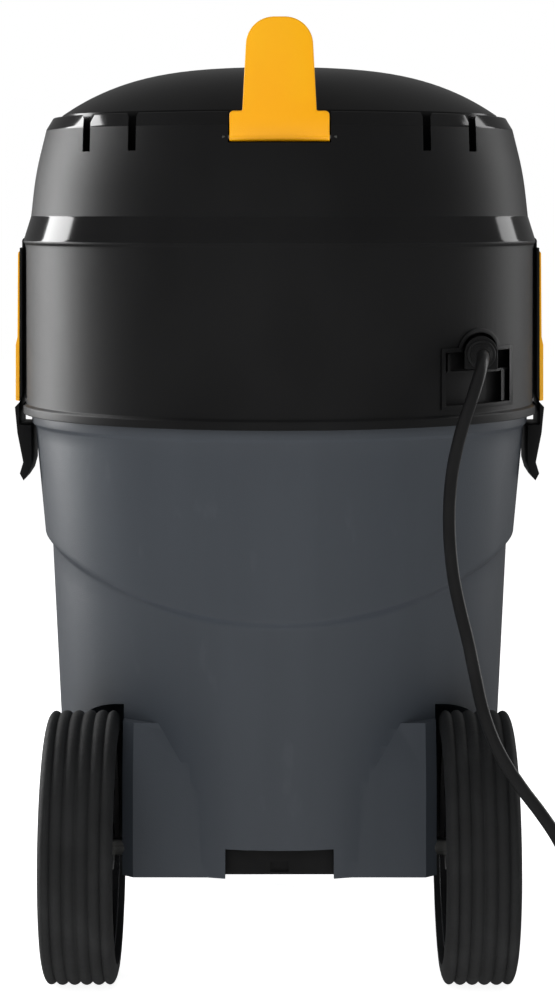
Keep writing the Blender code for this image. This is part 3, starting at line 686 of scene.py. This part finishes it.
def drum_rings(rows, inset=0.0):
    rings = [drum_ring(row, inset) for row in rows]
    out = [rings[0]]
    for k in range(1, len(rows)):
        steps = DRUM_STEPS.get((k - 1, k), 1) if len(rows) == len(DRUM_ROWS) else 1
        for i in range(1, steps + 1):
            out.append([a.lerp(b, i / steps) for a, b in zip(rings[k - 1], rings[k])])
    return out


def axle_housing(side):
    """A squared corner of the skirt that carries the axle past the round of the drum."""
    rings = []
    for z, back in ((0.185, -0.1440), (0.150, HOUSING_BACK), (TANK_BOTTOM, HOUSING_BACK)):
        end = WELL_IN + 0.002
        outline = ((0.050, -0.1280), (0.050, back), (0.1045, back), (end, back + 0.010), (end, -0.1000))
        rings.append([Vector((side * x, y, z)) for x, y in outline])
    return lofted(f"axle_housing_{side}", rings)


def caster_foot_outline(side, grown):
    outer = arc((0.085, 0.172), 0.021 + grown, -35, 145, 21)
    inner = arc((0.066, 0.128), 0.018 + grown, 145, 325, 15)
    return [(side * x, y) for x, y in (*outer, *inner)]


def make_tank():
    drum = lofted("tank_drum", drum_rings(DRUM_ROWS))
    add(drum, *[axle_housing(side) for side, _ in SIDES])
    inside = [(0, 0.41, 0.1895), (0, 0.3895, 0.1895), (0, 0.3882, 0.1867), *DRUM_ROWS[6:16]]
    inside.append((0, FLOOR_TOP, 0.1642))
    cavity = lofted("cavity", [drum_ring(row, WALL) for row in inside])
    under = lofted("under", [drum_ring((0, z, 0.1625), WALL) for z in (FLOOR_UNDER, TANK_BOTTOM - 0.02)])

    def well(side, grown):
        inner = WELL_IN - grown
        start = (inner if side > 0 else -0.26, AXLE_Y, AXLE_Z)
        return rod("well", start, 0.26 - inner, WELL_R + grown, "X", 96)

    cut(cavity, *[well(side, WALL) for side, _ in SIDES])
    cut(under, *[well(side, WALL) for side, _ in SIDES])
    notch = [(-NOTCH_HALF, 0.05), (NOTCH_HALF, 0.05), (NOTCH_HALF, NOTCH_TOP), (-NOTCH_HALF, NOTCH_TOP)]
    tools = [well(side, 0) for side, _ in SIDES]
    tools += [cavity, under, extruded("notch", notch, -0.20, -0.145, "Y")]
    tools.append(rod("inlet_way", (0, 0.14, INLET_Z), 0.1, INLET_BORE, "Y", 64))
    for side, _ in SIDES:
        tools.append(extruded("foot_gap", caster_foot_outline(side, 0.0003), 0.05, FLOOR_UNDER - 0.0001))
    cut(drum, *tools)
    cut(drum, rod("axle_way", (-0.13, AXLE_Y, AXLE_Z), 0.26, AXLE_R + 0.0003, "X"))
    fit(drum, TANK, "vacuum", "tank_grey", "tank")


def make_inlet():
    outer, flange, face = 0.033, 0.046, 0.194
    profile = [
        (INLET_BORE, 0.172),
        (INLET_BORE, INLET_END, 0.0012),
        (outer, INLET_END, 0.0012),
        (outer, 0.222, 0.0004),
        (outer - 0.0012, 0.2215, 0.0003),
        (outer - 0.0012, 0.2185, 0.0003),
        (outer, 0.218, 0.0004),
        (outer, 0.1975, 0.002),
        (flange, face + 0.0003, 0.0015),
        (flange, 0.172),
    ]
    port = turned("hose_port", filleted(profile, 0.001, 4), 96, "Y", (0, 0, INLET_Z))
    fit(port, MOULDED, "vacuum", "black_plastic", "inlet_port")
    for i in range(1, 5):
        refined(f"inlet_screw_{i}", 0.0004, STEEL, "vacuum", "steel")


# ------------------------------------------------------------------ node-made pieces


class Shape(Graph):
    """A Geometry Nodes tree with named inputs. It ends in Realize Instances and Set Material."""

    def __init__(self, name, **sizes):
        super().__init__(bpy.data.node_groups.new(name, "GeometryNodeTree"))
        self.sizes = sizes
        face = self.tree.interface
        face.new_socket("Geometry", in_out="OUTPUT", socket_type="NodeSocketGeometry")
        for key, value in sizes.items():
            kind = "NodeSocketInt" if isinstance(value, int) else "NodeSocketFloat"
            face.new_socket(key, in_out="INPUT", socket_type=kind)
        self.inputs = self.tree.nodes.new("NodeGroupInput")

    def size(self, name):
        return Wire(self, self.inputs.outputs[name])

    def made(self, name, geometry, finish, smooth=35):
        geometry = self.node("GeometryNodeRealizeInstances", inputs={0: geometry})
        geometry = self.node("GeometryNodeSetMaterial", inputs={0: geometry, "Material": finish.material})
        end = self.tree.nodes.new("NodeGroupOutput")
        self.tree.links.new(geometry.socket, end.inputs[0])
        obj = new_object(name, bpy.data.meshes.new(name))
        modifier = obj.modifiers.new("Shape", "NODES")
        modifier.node_group = self.tree
        for item in self.tree.interface.items_tree:
            if item.in_out == "INPUT":
                modifier[item.identifier] = self.sizes[item.name]
        return baked(obj, smooth)

    def ramped(self, value, low, high):
        inputs = {"Value": value, "From Min": low, "From Max": high}
        return self.node("ShaderNodeMapRange", {"clamp": True}, inputs)

    def spot(self, x, y, z):
        return self.node("ShaderNodeCombineXYZ", inputs={0: x, 1: y, 2: z})


def ribbed_tyre(name, side):
    """A closed tube of square section swept round the axle, with round ribs across its tread."""
    shape = Shape(
        f"{name}_tree",
        around=168,
        across=90,
        ribs=6,
        radius=0.096,
        rim_radius=0.0815,
        rib_depth=0.0030,
        shoulder=0.0048,
        inner_face=0.1150,
        width=0.0515,
        side=float(side),
    )
    inputs = {"Size X": 1.0, "Size Y": 1.0}
    inputs |= {"Vertices X": shape.size("around"), "Vertices Y": shape.size("across")}
    grid = shape.node("GeometryNodeMeshGrid", inputs=inputs)
    place = shape.node("GeometryNodeInputPosition")
    turn = (shape.node("ShaderNodeSeparateXYZ", inputs={0: place}, out="X") + 0.5) * TAU
    v = shape.node("ShaderNodeSeparateXYZ", inputs={0: place}, out="Y") + 0.5
    tread, wall, bore = 0.82, 0.87, 0.95
    across = shape.ramped(v, 0.0, tread) - shape.ramped(v, wall, bore)
    down = shape.ramped(v, tread, wall) - shape.ramped(v, bore, 1.0)
    wave = shape.node("ShaderNodeMath", {"operation": "SINE"}, {0: across * shape.size("ribs") * math.pi})
    hump = wave.math("ABSOLUTE", wave).math("POWER", wave.math("ABSOLUTE", wave), 0.62)
    edge = (across * 2 - 1).math("ABSOLUTE", across * 2 - 1)
    drop = edge.math("POWER", edge, 14.0) * shape.size("shoulder")
    top = shape.size("radius") - shape.size("rib_depth") * (1 - hump) - drop
    radius = top * (1 - down) + shape.size("rim_radius") * down
    cos = turn.math("COSINE", turn)
    sin = turn.math("SINE", turn)
    x = (shape.size("inner_face") + across * shape.size("width")) * shape.size("side")
    moved = {0: grid, "Position": shape.spot(x, radius * cos + AXLE_Y, radius * sin + AXLE_Z)}
    tyre = shape.node("GeometryNodeSetPosition", inputs=moved)
    tyre = shape.node("GeometryNodeMergeByDistance", inputs={0: tyre, "Distance": 0.00001})
    if side < 0:
        tyre = shape.node("GeometryNodeFlipFaces", inputs={0: tyre})
    return shape.made(name, tyre, TYRE, 60)


def bars_round(name, finish, at, axis, count, radius, length, height, width, first=0.0, sweep=TAU):
    """Equal bars set round an axis, each one pointing away from it."""
    shape = Shape(
        f"{name}_tree",
        count=count,
        radius=radius,
        length=length,
        height=height,
        width=width,
        first_angle=first,
        sweep=sweep,
    )
    size = shape.spot(shape.size("length"), shape.size("width"), shape.size("height"))
    bar = shape.node("GeometryNodeMeshCube", inputs={"Size": size})
    bar = shape.node(
        "GeometryNodeTransform", inputs={0: bar, "Translation": shape.spot(shape.size("radius"), 0.0, 0.0)}
    )
    points = shape.node("GeometryNodeMeshLine", inputs={"Count": shape.size("count"), "Offset": (0, 0, 0)})
    index = shape.node("GeometryNodeInputIndex")
    turn = shape.spot(0.0, 0.0, shape.size("first_angle") + index * shape.size("sweep") / shape.size("count"))
    bars = shape.node(
        "GeometryNodeInstanceOnPoints", inputs={"Points": points, "Instance": bar, "Rotation": turn}
    )
    obj = shape.made(name, bars, finish)
    place = Matrix.Translation(at) @ AXES[axis]
    obj.data.transform(place)
    return obj


# ------------------------------------------------------------------ wheels

TYRE_IN = 0.1150
HUB_PROFILE = (
    (0.0812, 0.0475, 0.0008),
    (0.0812, 0.0040, 0.0008),
    (0.0770, 0.0040, 0.0010),
    (0.0762, 0.0195, 0.0030),
    (0.0170, 0.0230, 0.0030),
    (0.0165, 0.0040, 0.0008),
    (0.0063, 0.0040, 0.0004),
    (0.0063, 0.0430, 0.0004),
    (0.0180, 0.0430, 0.0010),
    (0.0185, 0.0280, 0.0030),
    (0.0735, 0.0260, 0.0040),
    (0.0765, 0.0475, 0.0008),
)
CAP_PROFILE = (
    (0.0, 0.0500),
    (0.0130, 0.0496, 0.003),
    (0.0160, 0.0470, 0.002),
    (0.0160, 0.0433, 0.0003),
    (0.0, 0.0433),
)


def make_wheel(side, word):
    body, at, mirror = f"wheel_{word}", (side * TYRE_IN, AXLE_Y, AXLE_Z), side < 0
    fit(ribbed_tyre(f"ribbed_tyre_{word}", side), TYRE, body, "tyre_rubber", f"tyre_{word}")
    hub = turned(f"hub_disc_{word}", filleted(HUB_PROFILE, 0.001, 5, True), 120, "X", at, mirror)
    fit(hub, GLOSSY, body, "black_plastic", f"wheel_hub_{word}")
    cap = turned(f"hub_cap_{word}", filleted(CAP_PROFILE, 0.001, 5), 64, "X", at, mirror)
    fit(cap, MOULDED, body, "black_plastic", f"axle_cap_{word}")
    for face, x, height in (("inner", 0.0140, 0.0130), ("outer", 0.0330, 0.0110)):
        middle = (side * (TYRE_IN + x), AXLE_Y, AXLE_Z)
        ribs = bars_round(f"hub_{face}_ribs_{word}", GLOSSY, middle, "X", 10, 0.0465, 0.0600, height, 0.0024)
        fit(softened(ribs, 0.0006), GLOSSY, body, "black_plastic")


def make_running_gear():
    for side, word in SIDES:
        make_wheel(side, word)
        refined(f"caster_foot_{word}", 0.0015, MOULDED, "vacuum", "black_plastic")
        refined(f"caster_fork_{word}", 0.0004, STEEL, f"caster_fork_{word}", "steel")
        refined(f"caster_pin_{word}", 0.0005, STEEL, f"caster_fork_{word}", "steel")
        half = 0.009
        tread = ((0.0033, half), (0.0245, half), (0.028, half - 0.0035), (0.028, 0.0035 - half))
        tread = filleted((*tread, (0.0245, -half), (0.0033, -half)), 0.003, 4, True)
        wheel = turned(f"caster_tread_{word}", tread, 64, "X", (side * 0.085, 0.186, 0.028))
        fit(wheel, SEAL, f"caster_wheel_{word}", "tyre_rubber", f"caster_wheel_{word}")
    half = 0.1578
    bar = filleted(((0, half), (AXLE_R, half), (AXLE_R, -half), (0, -half)), 0.0008)
    axle = turned("axle_bar", bar, 48, "X", (0, AXLE_Y, AXLE_Z))
    fit(axle, STEEL, "vacuum", "steel", "rear_axle")
    refined("axle_cradle", 0.0010, MOULDED, "vacuum", "black_plastic")


# ------------------------------------------------------------------ power head

HEAD_SIDES = 192
HEAD_PROFILE = (
    (0.1703, 0.6225, 0.0008),
    (0.1733, 0.6225, 0.0009),
    (0.1786, 0.6137, 0.0008),
    (0.1868, 0.5803, 0.0160),
    (0.1903, 0.5478, 0.0008),
    (0.1958, 0.5303, 0.0010),
    (0.1962, 0.5282, 0.0008),
    (0.1946, 0.5262, 0.0004),
    (0.1944, 0.5245, 0.0004),
    (0.1941, 0.4062, 0.0005),
    (0.1965, 0.4044, 0.0007),
    (0.1965, 0.3985, 0.0006),
    (0.1925, 0.3985, 0.0002),
    (0.1925, 0.4030, 0.0002),
    (0.1890, 0.4045, 0.0002),
    (0.1890, 0.5250, 0.0030),
    (0.1840, 0.5500, 0.0030),
    (0.1775, 0.5880, 0.0010),
    (0.1100, 0.5880, 0.0004),
    (0.1100, 0.5920, 0.0004),
    (0.1778, 0.5920, 0.0020),
)
DECK_TOP = 0.592
SLOTS_X, SLOT_HALF, SLOT_FOOT = (0.1405, 0.1056), 0.0029, 0.595
HOOK_Y, HOOK_Z, HOOK_HALF_T, HOOK_FOOT_HALF = -0.1750, 0.6040, 0.0032, 0.0353
LATCH_Z = 0.5285
ENTRY_X, ENTRY_Z, ENTRY_LEFT, ENTRY_RIGHT = 0.1446, 0.449, 0.1185, 0.1685
ENTRY_LOW, ENTRY_SHOULDER, ENTRY_ARCH_R = 0.413, 0.4507, 0.0136
SWITCH_Z = 0.470


def entry_outline(grown=0.0):
    """The cord entry's shape, a tall box under a round arch, seen from the back."""
    arch = ENTRY_ARCH_R + grown
    left, right, shoulder = ENTRY_LEFT - grown, ENTRY_RIGHT + grown, ENTRY_SHOULDER + grown
    spring = math.degrees(math.asin(min(1.0, grown / arch)))
    points = [(left, ENTRY_LOW - grown), (right, ENTRY_LOW - grown), (right, shoulder)]
    points += [(x, z) for x, z in arc((ENTRY_X, ENTRY_SHOULDER), arch, spring, 180 - spring, 25)]
    return [*points, (left, shoulder)]


def drum_piece(name, inner, outer, shape):
    """The part of a shape that lies between two radii of the drum."""
    wall = turned("drum_wall", ((inner, 0.64), (outer, 0.64), (outer, 0.39), (inner, 0.39)), 192)
    piece = combined(shape, "INTERSECT", [wall])
    piece.name = name
    return piece


def make_head():
    shell = turned("head_moulding", filleted(HEAD_PROFILE, 0.001, 5, True), HEAD_SIDES)
    notch = HOOK_FOOT_HALF + 0.0010
    tools = [block("notch", (-notch, -0.20, HOOK_Z - 0.0038), (notch, -0.16, 0.64))]
    tools.append(rod("pin_way", (-0.0408, HOOK_Y, HOOK_Z), 0.0816, 0.0018, "X", 16))
    for x in SLOTS_X:
        for side, _ in SIDES:
            mouth, flare = 0.6195, 0.0020
            wide = SLOT_HALF + flare
            half = [(SLOT_HALF, SLOT_FOOT), (SLOT_HALF, mouth), (wide, 0.6240), (wide, 0.64)]
            outline = [(side * x + a, b) for a, b in half] + [(side * x - a, b) for a, b in reversed(half)]
            tools.append(extruded("slot", outline, -0.19, -0.07, "Y"))
    tools.append(extruded("entry_window", entry_outline(), -0.21, -0.07, "Y"))
    for side, _ in SIDES:
        low, high = sorted((side * 0.1902, side * 0.22))
        ends = (low, -0.0123, LATCH_Z - 0.0042), (high, 0.0123, LATCH_Z + 0.0042)
        tools.append(block("latch_pocket", *ends))
    ends = (-0.0121, 0.17, SWITCH_Z - 0.0161), (0.0121, 0.21, SWITCH_Z + 0.0161)
    tools.append(block("rocker_window", *ends))
    tools.append(block("grille_window", (-0.060, 0.13, 0.551), (0.060, 0.21, 0.576)))
    cut(shell, *tools)
    fit(shell, HEAD, "vacuum", "black_plastic", "head_shell", "head_deck")


def make_dome():
    """A shallow crown over an oval plan, rising to its middle."""
    half_x, half_y, low, shoulder, rise, wall = 0.1665, 0.150, DECK_TOP + 0.0003, 0.6245, 0.0365, 0.003
    sides, rows, flatness = 144, 28, 3.2

    def ring(share, z, inset=0.0):
        a, b = half_x * share - inset, half_y * share - inset
        return [(a * math.sin(TAU * i / sides), -b * math.cos(TAU * i / sides), z) for i in range(sides)]

    def crown(inset):
        rings = []
        for i in range(rows):
            share = max(math.sin(math.pi / 2 * i / rows), 0.025)
            rings.append(ring(share, shoulder + rise * (1 - share**flatness) - inset, inset / 2))
        return [*rings, ring(1.0, shoulder - inset, inset), ring(1.0, low - inset, inset)]

    dome = lofted("dome_crown", crown(0.0))
    cut(dome, lofted("hollow", crown(wall)))
    fit(dome, DOME, "vacuum", "black_plastic", "head_dome")


def make_hook():
    corner, tip, neck, foot, top = 0.0200, 0.0238, 0.0262, HOOK_FOOT_HALF, 0.689
    shoulder = 0.6226
    half = [
        *arc((tip - corner, top - corner), corner, 90, 0, 13),
        (neck, shoulder),
        *arc((foot - 0.003, shoulder - 0.003), 0.003, 90, 0, 5),
        (foot, HOOK_Z),
    ]
    outline = half + [(-x, z) for x, z in reversed(half)]
    hook = extruded("hook_plate", outline, HOOK_Y - HOOK_HALF_T, HOOK_Y + HOOK_HALF_T, "Y")
    softened(hook, 0.0012, 3, 50)
    barrel = rod("barrel", (-foot, HOOK_Y, HOOK_Z), 2 * foot, HOOK_HALF_T - 0.00002, "X", 40)
    add(hook, barrel)
    cut(hook, rod("bore", (-0.05, HOOK_Y, HOOK_Z), 0.1, 0.0018, "X", 16))
    fit(hook, HOOK, "cord_hook", "yellow_plastic", "cord_hook")


def make_latches():
    for _, word in SIDES:
        refined(f"latch_{word}", 0.0005, MOULDED, f"latch_{word}", "black_plastic", 2, 25)
        refined(f"latch_face_{word}", 0.0005, HOOK, f"latch_{word}", "yellow_plastic", 2, 25)


def make_cord_entry():
    ring = extruded("lip", entry_outline(0.0030), -0.21, -0.07, "Y")
    cut(ring, extruded("lip_inside", entry_outline(0.0001), -0.22, -0.06, "Y"))
    lip = drum_piece("entry_lip", 0.1915, 0.1953, ring)
    fit(softened(lip, 0.0006), MOULDED, "vacuum", "black_plastic")
    blank = block("panel", (0.1105, -0.20, 0.4118), (0.1735, -0.06, 0.470))
    panel = drum_piece("panel", 0.1850, 0.1880, blank)
    left, right = ENTRY_LEFT + 0.0005, ENTRY_RIGHT - 0.0005
    post = block("post", (right - 0.0060, -0.20, 0.4135), (right - 0.0030, -0.06, 0.436))
    stop = block("stop", (left + 0.0010, -0.20, 0.4372), (left + 0.0032, -0.06, 0.450))
    ribs = [
        drum_piece("shelf", 0.1875, 0.1928, block("shelf", (left, -0.20, 0.4352), (right, -0.06, 0.4372))),
        drum_piece("post", 0.1875, 0.1932, post),
        drum_piece("stop", 0.1875, 0.1932, stop),
    ]
    wide, low = 0.0120, 0.4382
    horseshoe = [(ENTRY_X - wide, low), (ENTRY_X + wide, low), *arc((ENTRY_X, 0.4500), wide, 0, 180, 25)]
    boss = extruded("boss", horseshoe, -0.1415, -0.100, "Y")
    softened(boss, 0.0008, 2)
    add(panel, boss, *ribs)
    cut(panel, rod("bore", (ENTRY_X, -0.2, ENTRY_Z), 0.12, 0.0088, "Y", 48))
    panel.name = "entry_panel"
    fit(panel, MOULDED, "vacuum", "black_plastic", "cord_entry_panel")
    relief = [(CORD_R, 0.1050), (0.0085, 0.1050, 0.0005), (0.0085, 0.1420, 0.0005), (0.0104, 0.1420, 0.0008)]
    relief += [(0.0104, 0.1442, 0.0008)]
    grooves, first, last = 4, 0.1446, 0.1566
    for i in range(grooves):
        along = first + (last - first) * i / grooves
        radius = 0.0080 - 0.0024 * i / grooves
        relief += [(radius, along, 0.0003), (radius, along + 0.0017, 0.0003)]
        relief += [(radius - 0.0011, along + 0.0018, 0.0003), (radius - 0.0011, along + 0.0028, 0.0003)]
    relief += [(0.0057, last, 0.0004), (0.0056, 0.1580, 0.0005), (CORD_R, 0.1580)]
    profile = [(r, -h) for r, h in filleted(relief, 0.0003, 3)]
    boot = turned("cord_boot", profile, 48, "Y", (ENTRY_X, 0, ENTRY_Z))
    fit(boot, CORD, "vacuum", "cord_rubber", "strain_relief")


def make_front():
    refined("switch_bezel", 0.0008, MOULDED, "vacuum", "black_plastic", 2, 30)
    refined("switch_rocker", 0.0012, HOOK, "switch", "yellow_plastic", 3, 20)
    refined("exhaust_grille", 0.0004, MOULDED, "vacuum", "black_plastic", 2, 30)
    first, sweep = math.radians(90 - 17.5), math.radians(37.0)
    spot, bar = (0, 0, 0.5635), (0.1766, 0.0070, 0.0245, 0.0011)
    fins = bars_round("exhaust_fins", GLOSSY, spot, "Z", 19, *bar, first, sweep)
    fit(fins, GLOSSY, "vacuum", "black_plastic")


def repaint_the_rest():
    repaint(MOULDED, "head_base", "filter_end_cap")
    repaint(SEAL, "rim_seal")
    repaint(STEEL, "hook_pin", "latch_pin_left", "latch_pin_right", "lower_bearing", "upper_bearing")
    repaint(STEEL, "suction_fan", "filter_stud")
    repaint(IRON, "stator", "motor_rotor")
    repaint(PAPER, "filter_cartridge")
    repaint(NATURAL, "fan_housing", "motor_housing", "float_cage", "float_ball")
    repaint(HOOK, "filter_nut")


# ------------------------------------------------------------------ the studio


SKY_LEVEL = 0.13


def make_studio():
    reach, thick = 8.0, 0.01
    floor = block("studio_floor", (-reach, -reach, -thick), (reach, reach, 0.0))
    dress(floor, FLOOR)
    floor.visible_glossy = False
    world = bpy.data.worlds.new("studio")
    world.use_nodes = True
    sky = world.node_tree.nodes["Background"]
    sky.inputs["Color"].default_value = (1, 1, 1, 1)
    air = Graph(world.node_tree)
    seen = air.node("ShaderNodeLightPath", out="Is Camera Ray")
    world.node_tree.links.new((SKY_LEVEL + (1 - SKY_LEVEL) * seen).socket, sky.inputs["Strength"])
    bpy.context.scene.world = world
    bpy.context.scene.view_settings.view_transform = "Standard"
    middle = (0, 0, 0.38)
    add_softbox("front_fill", (-0.5, -2.4, 1.5), middle, (1.6, 1.2), 21, mirrored=False)
    add_softbox("top_light", (0.0, -0.2, 2.2), middle, (1.4, 1.0), 8, mirrored=False)
    add_softbox("rim_left", (-1.7, 0.9, 0.9), middle, (0.7, 1.8), 30)
    add_softbox("rim_right", (1.7, 1.1, 0.9), middle, (0.5, 1.8), 6)


add_camera()
make_cord()
make_tank()
make_inlet()
make_running_gear()
make_head()
make_dome()
make_hook()
make_latches()
make_cord_entry()
make_front()
repaint_the_rest()
make_studio()
